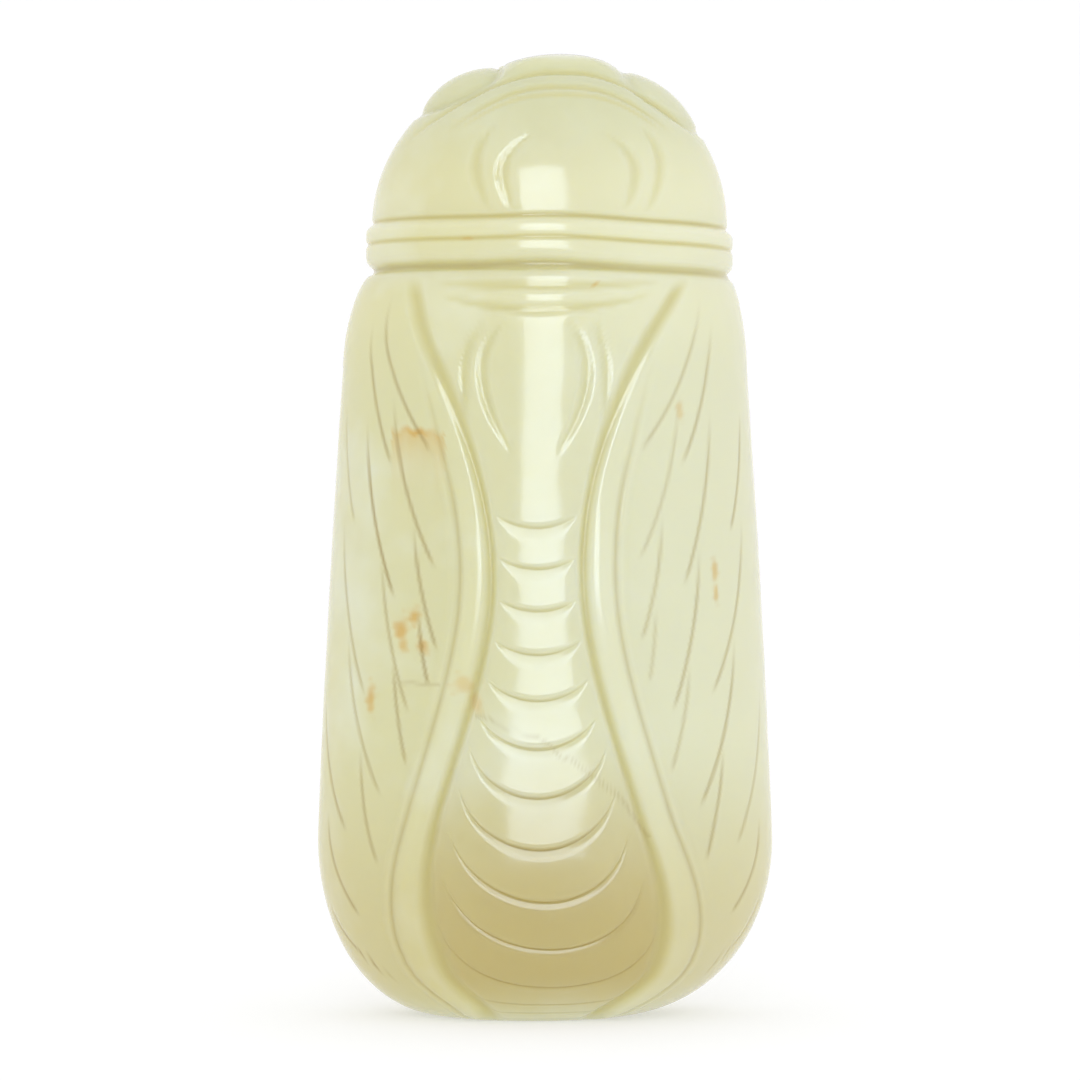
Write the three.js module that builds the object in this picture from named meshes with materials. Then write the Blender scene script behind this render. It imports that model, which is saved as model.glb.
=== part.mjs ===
// Snuff bottle: a cicada at rest, carved from one piece of pale yellow-green nephrite and hollowed out.
// Millimetres, +Z up. The bottle stands on its tail with the head up, the back faces -Y and the belly +Y.
// The origin lies under the middle of the bottle, on the plane that it stands on.
import * as THREE from "three";
import { ParametricGeometry } from "three/addons/geometries/ParametricGeometry.js";

const { clamp, degToRad, lerp, smoothstep } = THREE.MathUtils;

// Body sizes: half widths run along X, half depths along Y
const BODY_HALF_WIDTH = 15.6;
const BODY_HALF_DEPTH = 10.4;
const FOOT_HALF_WIDTH = 5.7;
const FOOT_HALF_DEPTH = 4.8;
const FOOT_SHIFT = -1;
const TAIL_TOP = 12;
const SHOULDER_HALF_WIDTH = 13.9;
const SHOULDER_HALF_DEPTH = 10.5;
const SHOULDER_LEVEL = 44;
const NECK_HALF_WIDTH = 12.2;
const NECK_HALF_DEPTH = 9.8;
const NECK_SHIFT = 0.31;

// Collar between the wings and the head
const COLLAR_BOTTOM = 50.7;
const COLLAR_MIDDLE = 52.5;
const COLLAR_TOP = 53.95;
const COLLAR_HEIGHT = 0.4;
const COLLAR_GROOVE = 0.14;
const COLLAR_TILT = 0.018;
const COLLAR_ARCH = 0.2;

// Head and mouth
const HEAD_LEVEL = 54;
const HEAD_RISE = 11.5;
const LIP_RADIUS = 4;
const MOUTH_RADIUS = 3.2;
const MOUTH_SHIFT = 0.8;
const BROW_LEVEL = 64.3;
const BROW_DROP = 5.7;
const CROWN_LEVEL = 66.3;
const CROWN_DROP = 4.2;
const BROW_ANGLE = 55;
const BROW_END_ANGLE = 75;
const BROW_GROOVE = 0.28;
const CREST_HEIGHT = 0.6;
const EYE_ANGLE = 82;
const EYE_HALF_ANGLE = 36;
const LEFT_EYE = { level: 65.2, halfHeight: 2.7, bulge: 0.6 };
const RIGHT_EYE = { level: 64.2, halfHeight: 3.2, bulge: 0.4 };

// Wings: the angles are degrees round from the middle of the back
const TAIL_TURN = 4.5;
const WAIST_TURN = -1.9;
const SHOULDER_TURN = -2.9;
const HEAD_TURN = 4.5;
const WAIST_LEVEL = 30;
const WAIST_ANGLE = 12;
const SHOULDER_ANGLE = 47;
const TAIL_ANGLE = 33;
const TAIL_REACH = 26;
const TAIL_CLOSING = 8;
const RIB_ANGLE = 8.5;
const RIB_HEIGHT = 0.2;
const WING_GROOVE = 0.26;
const WING_EDGE_ANGLE = 128;
const WING_THICKNESS = 0.4;

// Flatter parts of the back, on the head and low on the abdomen
const HEAD_FLAT = 0.35;
const HEAD_FLAT_HALF_WIDTH = 8;
const TAIL_FLAT = 0.28;
const TAIL_FLAT_HALF_WIDTH = 7.5;

// Rings of the abdomen
const RING_COUNT = 11;
const RING_TOP = 33.3;
const RING_PITCH = 2.63;
const RING_GROWTH = 0.0606;
const RING_RADIUS = 4.7;
const RING_SPREAD = 0.2;
const RING_SPREAD_LEVEL = 15.7;
const RING_GROOVE = 0.22;
const TAIL_RINGS = [-1.4, -3, -4.8];
const BELLY_RING_GROOVE = 0.25;

// Plates of the thorax under the collar
const PLATE_LEVELS = [49.4, 47.85];
const PLATE_RISE = 0.7;
const PLATE_HALF_WIDTH = 7;
const PLATE_GROOVE = 0.25;

// Hollow
const WALL = 3;
const NECK_LENGTH = 13;
const HOLLOW_TOP = 46;
const HOLLOW_BOTTOM = 4;

// Material
const JADE_COLOUR = 0xdcd9b0;
const JADE_ROUGHNESS = 0.28;

// The level is the distance up the outside: it equals the height on the sides, runs on round under
// the tail down to the edge of the foot, and over the head up to the lip
const FOOT_LEVEL = TAIL_TOP * (1 - Math.PI / 2);
const LIP_TURN = Math.acos(LIP_RADIUS / NECK_HALF_WIDTH);
const LIP_LEVEL = HEAD_LEVEL + HEAD_RISE * LIP_TURN;
const LIP_TOP = HEAD_LEVEL + HEAD_RISE * Math.sin(LIP_TURN) + 0.05;

// Smooth hump that is 1 in the middle and falls to 0 where the argument reaches 1
function hump(t) {
  return Math.abs(t) < 1 ? (1 - t * t) ** 2 : 0;
}

// Bare oval section of the bottle at a level, before any carving
function section(level) {
  if (level < TAIL_TOP) {
    const turn = (TAIL_TOP - level) / TAIL_TOP;
    const swell = Math.max(Math.cos(turn), 0);
    return {
      centre: FOOT_SHIFT * (1 - swell),
      width: lerp(FOOT_HALF_WIDTH, BODY_HALF_WIDTH, swell ** 0.94),
      depth: lerp(FOOT_HALF_DEPTH, BODY_HALF_DEPTH, swell),
      z: TAIL_TOP * (1 - Math.sin(turn)),
    };
  }
  if (level < SHOULDER_LEVEL) {
    const along = ((level - TAIL_TOP) / (SHOULDER_LEVEL - TAIL_TOP)) ** 1.2;
    return {
      centre: 0,
      width: lerp(BODY_HALF_WIDTH, SHOULDER_HALF_WIDTH, along),
      depth: lerp(BODY_HALF_DEPTH, SHOULDER_HALF_DEPTH, along),
      z: level,
    };
  }
  if (level < HEAD_LEVEL) {
    const along = Math.min((level - SHOULDER_LEVEL) / (COLLAR_BOTTOM - SHOULDER_LEVEL), 1);
    const swell = Math.max(Math.cos(along * Math.PI / 2), 0) ** 0.6;
    return {
      centre: NECK_SHIFT * (1 - swell),
      width: lerp(NECK_HALF_WIDTH, SHOULDER_HALF_WIDTH, swell),
      depth: lerp(NECK_HALF_DEPTH, SHOULDER_HALF_DEPTH, swell),
      z: level,
    };
  }
  const turn = (level - HEAD_LEVEL) / HEAD_RISE;
  const roundness = ((level - HEAD_LEVEL) / (LIP_LEVEL - HEAD_LEVEL)) ** 3;
  return {
    centre: lerp(NECK_SHIFT, MOUTH_SHIFT, (1 - Math.cos(turn)) / (1 - LIP_RADIUS / NECK_HALF_WIDTH)),
    width: NECK_HALF_WIDTH * Math.cos(turn),
    depth: lerp(NECK_HALF_DEPTH, NECK_HALF_WIDTH, roundness) * Math.cos(turn),
    z: HEAD_LEVEL + HEAD_RISE * Math.sin(turn),
  };
}

// Sideways turn of the carving: its middle line bends a little between the tail, the waist and the head
function carvingTurn(level) {
  return WAIST_TURN
    + (TAIL_TURN - WAIST_TURN) * (1 - smoothstep(level, -2, 15))
    + (SHOULDER_TURN - WAIST_TURN) * smoothstep(level, 26, SHOULDER_LEVEL)
    + (HEAD_TURN - SHOULDER_TURN) * smoothstep(level, SHOULDER_LEVEL + 1, HEAD_LEVEL + 2);
}

// Angle of the groove between the abdomen and the wing: wide at the shoulder, narrow at the waist, wide
// again on the tail, and closing in under it
function wingGrooveAngle(level) {
  if (level > WAIST_LEVEL) {
    const along = Math.min((level - WAIST_LEVEL) / (COLLAR_BOTTOM - WAIST_LEVEL), 1);
    return lerp(WAIST_ANGLE, SHOULDER_ANGLE, along ** 2);
  }
  const down = smoothstep(WAIST_LEVEL - level, 0, TAIL_REACH);
  return lerp(WAIST_ANGLE, TAIL_ANGLE, down) - TAIL_CLOSING * (1 - smoothstep(level, -3, 3));
}

// Angle that the rib beside the groove takes up: wider on the tail, thinner at the shoulder
function ribAngle(level) {
  const nearTail = 1 - smoothstep(level, 3, 15);
  const nearShoulder = smoothstep(level, 38, 48);
  return RIB_ANGLE * (1 + 0.55 * nearTail - 0.5 * nearShoulder);
}

// Levels of the ring grooves at the middle of the back, from the waist down to the foot
function ringLevels() {
  const levels = [];
  for (let k = 0; k < RING_COUNT; k += 1) {
    levels.push(RING_TOP - RING_PITCH * k - RING_GROWTH * k * k);
  }
  return [...levels, ...TAIL_RINGS];
}

// Rise of a ring line at a distance x from the middle of the back: a round arc, wider near the tail,
// that flattens towards the foot and dies out above the waist
function ringRise(level, x) {
  const lowest = RING_TOP - RING_PITCH * (RING_COUNT - 1) - RING_GROWTH * (RING_COUNT - 1) ** 2;
  const radius = RING_RADIUS + RING_SPREAD * Math.max(RING_SPREAD_LEVEL - level, 0);
  const sine = Math.min(Math.abs(x) / radius, 0.97);
  const full = clamp((level - FOOT_LEVEL) / (lowest - FOOT_LEVEL), 0, 1);
  const fade = 1 - smoothstep(level, RING_TOP, SHOULDER_LEVEL);
  return full * fade * radius * (1 - Math.sqrt(1 - sine * sine));
}

// Fall of the two arched lines of the head towards the sides, where they end
function archFall(drop, angle) {
  const out = Math.min(Math.abs(Math.sin(degToRad(angle))), Math.sin(degToRad(BROW_END_ANGLE)));
  return drop * (out / Math.sin(degToRad(BROW_ANGLE))) ** 3;
}

// Lean of the collar: lower on one side, and a little higher in the middle
function collarLean(x) {
  return COLLAR_ARCH * (1 - smoothstep(Math.abs(x), 0, 7)) - COLLAR_TILT * x;
}

// Depth by which the middle of the back is ground flatter on the head and low on the abdomen
function backFlat(side, level, x) {
  if (side > 90) {
    return 0;
  }
  const onHead = smoothstep(level, 49.5, 51.5) * (1 - smoothstep(level, 58, 64));
  const onTail = (1 - smoothstep(level, 10, 24)) * smoothstep(level, FOOT_LEVEL, FOOT_LEVEL + 6);
  return HEAD_FLAT * onHead * hump(x / HEAD_FLAT_HALF_WIDTH)
    + TAIL_FLAT * onTail * hump(x / TAIL_FLAT_HALF_WIDTH);
}

// Carving under the collar fades out at the collar and towards the edge of the foot
function bodyFade(level) {
  return (1 - smoothstep(level, 48.6, 50.2)) * smoothstep(level, FOOT_LEVEL + 0.5, FOOT_LEVEL + 5);
}

// Groove and raised rib along the inner margin of each wing
function wingRelief(side, level) {
  const fromGroove = side - wingGrooveAngle(level);
  const onRib = fromGroove / ribAngle(level);
  const crest = RIB_HEIGHT * (1 - smoothstep(level, 34, 46));
  const groove = hump(degToRad(fromGroove) * section(level).width / 0.8);
  return crest * hump((onRib - 0.55) / 0.55) - WING_GROOVE * groove;
}

// Rings of the abdomen on the back, each groove with a steep upper and a gentle lower flank
function ringRelief(side, level, ring) {
  const back = 1 - smoothstep(side / wingGrooveAngle(level), 0.65, 0.95);
  let height = 0;
  for (const line of ringLevels()) {
    const above = ring - line;
    height -= RING_GROOVE * back * hump(above / (above > 0 ? 0.5 : 1));
  }
  return height;
}

// Belly, lower than the wings that fold round it, with plain rings of its own
function bellyRelief(side, ring) {
  const belly = smoothstep(side, WING_EDGE_ANGLE - 2, WING_EDGE_ANGLE + 2);
  let height = -WING_THICKNESS * belly;
  for (const line of ringLevels().slice(0, RING_COUNT)) {
    height -= BELLY_RING_GROOVE * belly * hump((ring - line) / 0.8);
  }
  return height;
}

// Two curved lines across the thorax, dying out at both ends
function plateRelief(side, level, x) {
  const across = x / PLATE_HALF_WIDTH;
  if (side > 90 || Math.abs(across) > 1) {
    return 0;
  }
  let height = 0;
  for (const line of PLATE_LEVELS) {
    const middle = line + PLATE_RISE * across * across;
    height -= PLATE_GROOVE * Math.sqrt(1 - across * across) * hump((level - middle) / 0.45);
  }
  return height;
}

// Collar of two bands between three grooves
function collarRelief(tilted) {
  const band = smoothstep(tilted, COLLAR_BOTTOM, COLLAR_BOTTOM + 0.8)
    * (1 - smoothstep(tilted, COLLAR_TOP - 0.6, COLLAR_TOP));
  return COLLAR_HEIGHT * band
    - COLLAR_GROOVE * hump((tilted - COLLAR_BOTTOM) / 0.5)
    - COLLAR_GROOVE * hump((tilted - COLLAR_MIDDLE) / 0.45)
    - COLLAR_GROOVE * 0.7 * hump((tilted - COLLAR_TOP) / 0.4);
}

// Arched lines of the head, the low crest in front of the mouth and the eyes beside it
function headRelief(angle, level, x) {
  const side = Math.abs(angle);
  const face = 1 - smoothstep(side, 50, BROW_END_ANGLE);
  const brow = BROW_LEVEL - archFall(BROW_DROP, angle);
  const crown = CROWN_LEVEL - archFall(CROWN_DROP, angle);
  const crest = side < 90 ? Math.max(1 - (x / LIP_RADIUS) ** 2, 0) * smoothstep(level - crown, 0, 2) : 0;
  const eye = angle < 0 ? LEFT_EYE : RIGHT_EYE;
  const fromEye = Math.hypot((side - EYE_ANGLE) / EYE_HALF_ANGLE, (level - eye.level) / eye.halfHeight);
  return eye.bulge * hump(fromEye)
    + CREST_HEIGHT * crest
    - BROW_GROOVE * face * hump((level - brow) / 0.6)
    - BROW_GROOVE * face * hump((level - crown) / 0.6);
}

// Height of the carving above the bare section; ring is the level of the ring line through the point
function relief(angle, level, ring) {
  const side = Math.abs(angle);
  const x = section(level).width * Math.sin(degToRad(angle));
  const body = wingRelief(side, level) + ringRelief(side, level, ring) + bellyRelief(side, ring);
  return body * bodyFade(level)
    - backFlat(side, level, x)
    + plateRelief(side, level, x)
    + collarRelief(level - collarLean(x))
    + headRelief(angle, level, x);
}

// Point on the bare section
function barePoint(angle, level) {
  const { centre, width, depth, z } = section(level);
  const a = degToRad(angle);
  return new THREE.Vector3(centre + width * Math.sin(a), -depth * Math.cos(a), z);
}

// Point on the carved outside: the bare point moved along its normal by the relief
function carvedPoint(angle, level, ring) {
  const step = 0.05;
  const turned = angle + carvingTurn(level);
  const around = barePoint(turned + 1, level).sub(barePoint(turned - 1, level));
  const upward = barePoint(turned, level + step).sub(barePoint(turned, level - step));
  const normal = around.cross(upward).normalize();
  const point = barePoint(turned, level).addScaledVector(normal, relief(angle, level, ring));
  point.z = Math.max(point.z, 0);
  return point;
}

// Columns of the mesh on one side: 0 is the middle of the back, 1 the wing groove, 2 the outer edge
// of the rib, 3 the wing edge and 4 the middle of the belly
const HALF_COLUMNS = [
  0.3, 0.55, 0.75, 0.9, 1, 1.18, 1.5, 1.82, 2.02, 2.13,
  2.26, 2.4, 2.54, 2.68, 2.82, 2.96, 3.05, 3.3, 3.55, 3.8,
];
const COLUMNS = [
  0,
  ...HALF_COLUMNS,
  4,
  ...HALF_COLUMNS.map((c) => -c).reverse(),
];

// Angle of a column at a level
function columnAngle(column, level) {
  const inner = wingGrooveAngle(level);
  const stops = [0, inner, inner + ribAngle(level), WING_EDGE_ANGLE, 180];
  const c = Math.abs(column);
  const from = Math.min(Math.floor(c), 3);
  return Math.sign(column) * lerp(stops[from], stops[from + 1], c - from);
}

// Row of the mesh along a ring line, which climbs over the abdomen and comes down again on the wing
function ringRow(ring) {
  return (column) => {
    const c = Math.abs(column);
    const { width } = section(ring);
    const x = width * Math.sin(degToRad(columnAngle(Math.min(c, 1), ring)));
    const comeDown = 1 - smoothstep(c, 2, 3);
    const level = ring + ringRise(ring, x) * comeDown;
    return carvedPoint(columnAngle(column, level), level, ring);
  };
}

// Row at one level, tipped like the collar
function collarRow(tilted) {
  return (column) => {
    const angle = columnAngle(column, tilted);
    const x = NECK_HALF_WIDTH * Math.sin(degToRad(angle));
    return carvedPoint(angle, tilted + collarLean(x), tilted);
  };
}

// Row of the head between two of its lines: 0 collar, 1 brow, 2 crown, 3 lip
function headRow(place) {
  return (column) => {
    const angle = columnAngle(column, HEAD_LEVEL);
    const lines = [
      COLLAR_TOP + 0.35 + collarLean(NECK_HALF_WIDTH * Math.sin(degToRad(angle))),
      BROW_LEVEL - archFall(BROW_DROP, angle),
      CROWN_LEVEL - archFall(CROWN_DROP, angle),
      LIP_LEVEL,
    ];
    const from = Math.min(Math.floor(place), 2);
    const level = lerp(lines[from], lines[from + 1], place - from);
    return carvedPoint(angle, level, level);
  };
}

// Row of an oval at a fixed height
function ovalRow(centre, width, depth, z) {
  return (column) => {
    const a = degToRad(columnAngle(column, HEAD_LEVEL));
    return new THREE.Vector3(centre + width * Math.sin(a), -depth * Math.cos(a), z);
  };
}

// Flat foot: its middle, and then the edge by the first ring row
const footRows = [
  ovalRow(FOOT_SHIFT, 0, 0, 0),
  ringRow(FOOT_LEVEL),
];

// Abdomen: three rows to every ring, at the groove and at both of its edges
const ringRows = [];
for (const line of ringLevels().reverse()) {
  const crowded = line < RING_TOP - RING_PITCH * RING_COUNT ? 0.5 : 1;
  ringRows.push(ringRow(line - crowded));
  ringRows.push(ringRow(line));
  ringRows.push(ringRow(line + 0.5 * crowded));
}

// Thorax, collar and head
const thoraxRows = [35.5, 38, 40.5, 43, 45.5, 47.2, 47.85, 48.4, 48.9, 49.4, 49.8, 50.2].map(ringRow);
const collarRows = [50.7, 51.1, 51.6, 52.1, 52.5, 52.9, 53.3, 53.6, 53.95].map(collarRow);
const headRows = [
  0, 0.25, 0.5, 0.72, 0.93, 1, 1.2, 1.5, 1.8, 2, 2.15, 2.3, 2.45, 2.6, 2.8, 3,
].map(headRow);

// Flat rim round the mouth
const lipRows = [
  ovalRow(MOUTH_SHIFT, LIP_RADIUS - 0.15, LIP_RADIUS - 0.15, LIP_TOP),
  ovalRow(MOUTH_SHIFT, MOUTH_RADIUS + 0.15, MOUTH_RADIUS + 0.15, LIP_TOP),
  ovalRow(MOUTH_SHIFT, MOUTH_RADIUS, MOUTH_RADIUS, LIP_TOP - 0.15),
];

// Inside: the straight bore of the neck, the shoulder of the hollow, its sides and its rounded floor
const boreEnd = LIP_TOP - NECK_LENGTH;
const hollowRows = [ovalRow(MOUTH_SHIFT, MOUTH_RADIUS, MOUTH_RADIUS, boreEnd)];
for (const part of [0.35, 0.7, 1]) {
  const { width, depth } = section(HOLLOW_TOP);
  const swell = Math.sin(part * Math.PI / 2);
  hollowRows.push(ovalRow(
    lerp(MOUTH_SHIFT, 0, swell),
    lerp(MOUTH_RADIUS, width - WALL, 1 - Math.cos(part * Math.PI / 2)),
    lerp(MOUTH_RADIUS, depth - WALL, 1 - Math.cos(part * Math.PI / 2)),
    lerp(boreEnd, HOLLOW_TOP, swell),
  ));
}
for (const level of [36, 24, TAIL_TOP]) {
  const { width, depth, z } = section(level);
  hollowRows.push(ovalRow(0, width - WALL, depth - WALL, z));
}
for (const turn of [25, 50, 72, 90]) {
  const round = Math.cos(degToRad(turn));
  const z = lerp(TAIL_TOP, HOLLOW_BOTTOM, Math.sin(degToRad(turn)));
  hollowRows.push(ovalRow(0, (BODY_HALF_WIDTH - WALL) * round, (BODY_HALF_DEPTH - WALL) * round, z));
}

// One closed skin: foot, outside, lip and inside in one run of rows
const rows = [
  ...footRows,
  ...ringRows,
  ...thoraxRows,
  ...collarRows,
  ...headRows,
  ...lipRows,
  ...hollowRows,
];

const skin = new ParametricGeometry((u, v, target) => {
  const row = rows[Math.round(v * (rows.length - 1))];
  const column = COLUMNS[Math.round(u * COLUMNS.length) % COLUMNS.length];
  target.copy(row(column));
}, COLUMNS.length, rows.length - 1);

const jade = new THREE.MeshStandardMaterial({
  color: JADE_COLOUR,
  roughness: JADE_ROUGHNESS,
  metalness: 0,
});

const bottle = new THREE.Mesh(skin, jade);
bottle.name = "bottle";

const part = new THREE.Group();
part.name = "cicada_snuff_bottle";
part.add(bottle);

export default part;
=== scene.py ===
# %% [markdown]
# # A snuff bottle carved as a cicada
# The object is one small bottle of pale yellow-green nephrite. A carver shaped the outside as a cicada at
# rest, with the head up and the wings folded over the back, and hollowed the stone out from the top.
# This lesson builds the carved skin as one grid of points, gives it a translucent stone material, and
# sets it on a pale floor under soft light.

# %% Load the measured frame
import bpy
import numpy as np
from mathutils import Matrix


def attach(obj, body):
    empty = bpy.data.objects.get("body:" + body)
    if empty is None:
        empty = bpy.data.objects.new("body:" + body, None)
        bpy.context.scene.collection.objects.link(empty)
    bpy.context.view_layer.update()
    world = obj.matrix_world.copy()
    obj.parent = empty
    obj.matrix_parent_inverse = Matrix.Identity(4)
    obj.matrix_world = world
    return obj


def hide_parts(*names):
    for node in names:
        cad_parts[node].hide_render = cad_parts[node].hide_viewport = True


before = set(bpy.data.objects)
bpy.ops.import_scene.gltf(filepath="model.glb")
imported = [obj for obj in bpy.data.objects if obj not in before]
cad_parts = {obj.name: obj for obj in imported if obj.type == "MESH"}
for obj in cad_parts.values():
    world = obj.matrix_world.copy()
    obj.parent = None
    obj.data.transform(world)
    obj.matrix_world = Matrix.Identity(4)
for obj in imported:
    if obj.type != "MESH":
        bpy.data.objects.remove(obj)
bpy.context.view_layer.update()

# %% [markdown]
# ## The bare stone
# Before any carving, every cut across the bottle is an oval. Two coordinates find any point on the skin.
# The level is the distance up the outside in millimetres: it equals the height on the straight sides, runs
# on round under the tail, and climbs over the dome of the head. The angle goes round in degrees from
# the middle of the back. With these two, each carved detail can be written as a plain formula.

# %% Ovals of the bare stone
BODY_HALF_WIDTH, BODY_HALF_DEPTH = 15.6, 10.4
FOOT_HALF_WIDTH, FOOT_HALF_DEPTH, FOOT_SHIFT = 5.7, 4.8, -1.0
SHOULDER_HALF_WIDTH, SHOULDER_HALF_DEPTH = 13.9, 10.5
NECK_HALF_WIDTH, NECK_HALF_DEPTH, NECK_SHIFT = 12.2, 9.8, 0.31
TAIL_TOP, SHOULDER_LEVEL, COLLAR_BOTTOM, HEAD_LEVEL, HEAD_RISE = 12.0, 44.0, 50.7, 54.0, 11.5
LIP_RADIUS, MOUTH_RADIUS, MOUTH_SHIFT = 4.0, 3.2, 0.8
FOOT_LEVEL = TAIL_TOP * (1 - np.pi / 2)
LIP_LEVEL = HEAD_LEVEL + HEAD_RISE * np.arccos(LIP_RADIUS / NECK_HALF_WIDTH)


def blend(low, high, part):
    """Straight mix of two values: low at part 0, high at part 1."""
    return low + (high - low) * part


def section(level):
    """Centre, half width, half depth and height of the oval at a level: an ellipse arc under the tail,
    an almost straight side, a cosine shoulder, and an ellipse arc over the head that ends as a circle."""
    tail = np.clip((TAIL_TOP - level) / TAIL_TOP, 0, np.pi / 2)
    side = np.clip((level - TAIL_TOP) / (SHOULDER_LEVEL - TAIL_TOP), 0, 1) ** 1.2
    neck = np.clip((level - SHOULDER_LEVEL) / (COLLAR_BOTTOM - SHOULDER_LEVEL), 0, 1)
    neck = np.clip(np.cos(neck * np.pi / 2), 0, 1) ** 0.6
    dome = np.clip((level - HEAD_LEVEL) / HEAD_RISE, 0, None)
    ends_round = np.clip((level - HEAD_LEVEL) / (LIP_LEVEL - HEAD_LEVEL), 0, 1) ** 3
    swell = np.clip(np.cos(tail), 0, 1)
    width = blend(FOOT_HALF_WIDTH, blend(BODY_HALF_WIDTH, SHOULDER_HALF_WIDTH, side), swell ** 0.94)
    depth = blend(FOOT_HALF_DEPTH, blend(BODY_HALF_DEPTH, SHOULDER_HALF_DEPTH, side), swell)
    width = np.where(level > SHOULDER_LEVEL, blend(NECK_HALF_WIDTH, SHOULDER_HALF_WIDTH, neck), width)
    depth = np.where(level > SHOULDER_LEVEL, blend(NECK_HALF_DEPTH, SHOULDER_HALF_DEPTH, neck), depth)
    head_depth = blend(NECK_HALF_DEPTH, NECK_HALF_WIDTH, ends_round) * np.cos(dome)
    width = np.where(level > HEAD_LEVEL, NECK_HALF_WIDTH * np.cos(dome), width)
    depth = np.where(level > HEAD_LEVEL, head_depth, depth)
    to_mouth = (1 - np.cos(dome)) / (1 - LIP_RADIUS / NECK_HALF_WIDTH)
    centre = FOOT_SHIFT * (1 - swell) + NECK_SHIFT * (1 - neck) + (MOUTH_SHIFT - NECK_SHIFT) * to_mouth
    height = np.where(level < TAIL_TOP, TAIL_TOP * (1 - np.sin(tail)), level)
    height = np.where(level > HEAD_LEVEL, HEAD_LEVEL + HEAD_RISE * np.sin(dome), height)
    return centre, width, depth, height


print("levels run from", round(FOOT_LEVEL, 2), "at the foot to", round(LIP_LEVEL, 2), "at the lip")

# %% [markdown]
# ## Lines that the carving follows
# Three families of lines give the carving its layout. The wing grooves sweep in from the shoulders to a
# narrow waist and out again to the tail, like an hourglass. The rings of the abdomen are round arcs that hang
# between those grooves. The collar leans a little to one side. A mesh that runs along such lines keeps their
# edges clean, so they are written down first, and the grid is laid over them in the next step.

# %% Wing groove, rings and lean of the collar
WAIST_LEVEL, WAIST_ANGLE, SHOULDER_ANGLE = 30.0, 12.0, 47.0
TAIL_ANGLE, TAIL_REACH, TAIL_CLOSING = 33.0, 26.0, 8.0
RIB_ANGLE, WING_EDGE_ANGLE = 8.5, 128.0
RING_COUNT, RING_TOP, RING_PITCH, RING_GROWTH = 11, 33.3, 2.63, 0.0606
RING_RADIUS, RING_SPREAD, RING_SPREAD_LEVEL = 4.7, 0.2, 15.7
TAIL_RINGS = (-1.4, -3.0, -4.8)
COLLAR_MIDDLE, COLLAR_TOP, COLLAR_TILT, COLLAR_ARCH = 52.5, 53.95, 0.018, 0.2
order = np.arange(RING_COUNT)
ring_lines = RING_TOP - RING_PITCH * order - RING_GROWTH * order ** 2
all_rings = np.concatenate([ring_lines, TAIL_RINGS])


def ramp(value, start, end):
    """Smooth step from 0 at start to 1 at end: three times the square less twice the cube."""
    part = np.clip((value - start) / (end - start), 0, 1)
    return part * part * (3 - 2 * part)


def wing_groove_angle(level):
    """Angle of the groove: grows with the square of the way up from the waist, and by a smooth step down
    to the tail, where it closes in again."""
    up = np.clip((level - WAIST_LEVEL) / (COLLAR_BOTTOM - WAIST_LEVEL), 0, 1) ** 2
    down = ramp(WAIST_LEVEL - level, 0, TAIL_REACH)
    closing = TAIL_CLOSING * (1 - ramp(level, -3, 3))
    return WAIST_ANGLE + (SHOULDER_ANGLE - WAIST_ANGLE) * up + (TAIL_ANGLE - WAIST_ANGLE) * down - closing


def rib_angle(level):
    """Angle that the rib beside the groove takes up: wider on the tail, thinner at the shoulder."""
    return RIB_ANGLE * (1 + 0.55 * (1 - ramp(level, 3, 15)) - 0.5 * ramp(level, 38, 48))


def ring_arc(line, across):
    """Rise of a ring line away from the middle of the back, and the cosine of its slope. The line is a round
    arc, wider near the tail, that flattens towards the foot and dies out above the waist."""
    radius = RING_RADIUS + RING_SPREAD * np.clip(RING_SPREAD_LEVEL - line, 0, None)
    full = np.clip((line - FOOT_LEVEL) / (ring_lines[-1] - FOOT_LEVEL), 0, 1)
    full = full * (1 - ramp(line, RING_TOP, SHOULDER_LEVEL))
    cosine = np.sqrt(1 - np.clip(np.abs(across) / radius, 0, 0.97) ** 2)
    return full * radius * (1 - cosine), blend(1, cosine, full)


def collar_lean(across):
    """Lean of the collar: lower on one side, and a little higher in the middle."""
    return COLLAR_ARCH * (1 - ramp(np.abs(across), 0, 7)) - COLLAR_TILT * across


print("ring lines at levels", np.round(ring_lines, 1))

# %% [markdown]
# ## A grid that runs along the carving
# A column has a number: 0 in the middle of the back, 1 in the wing groove, 2 at the outer edge of the rib,
# 3 at the wing edge and 4 in the middle of the belly. A row is a ring line on the abdomen, comes down again
# on the wing, and leans with the collar. Rows crowd together at the cuts, and columns on the back, because
# the finest cuts are less than half a millimetre wide.

# %% Rows and columns
ROWS = 326
COLUMN_RUNS = ((0, 1, 30), (1, 2, 12), (2, 2.56, 72), (2.56, 2.96, 10), (2.96, 3.06, 6), (3.06, 4, 8))
TAIL_TURN, WAIST_TURN, SHOULDER_TURN, HEAD_TURN = 4.5, -1.9, -2.9, 4.5


def crowded_rows(count, lines):
    """Rows from the foot to the lip, three times as close at the given lines: a density is summed up the
    outside, and the rows are read off at equal shares of the total."""
    fine = np.linspace(FOOT_LEVEL, LIP_LEVEL, 6001)
    density = 1 + 2 * np.exp(-((fine[:, None] - lines) / 0.4) ** 2).sum(axis=1) + 0.4 * (fine > COLLAR_TOP)
    total = np.concatenate([[0], np.cumsum(0.5 * (density[1:] + density[:-1]))])
    return np.interp(np.linspace(0, total[-1], count), total, fine)


def column_angle(column, level):
    """Angle of a column: straight mixes between its stops at the back, groove, rib, wing edge and belly."""
    inner = wing_groove_angle(level)
    stops = (0, inner, inner + rib_angle(level), WING_EDGE_ANGLE, 180)
    parts = [np.clip(np.abs(column) - i, 0, 1) * (stops[i + 1] - stops[i]) for i in range(4)]
    return np.sign(column) * sum(parts)


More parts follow.
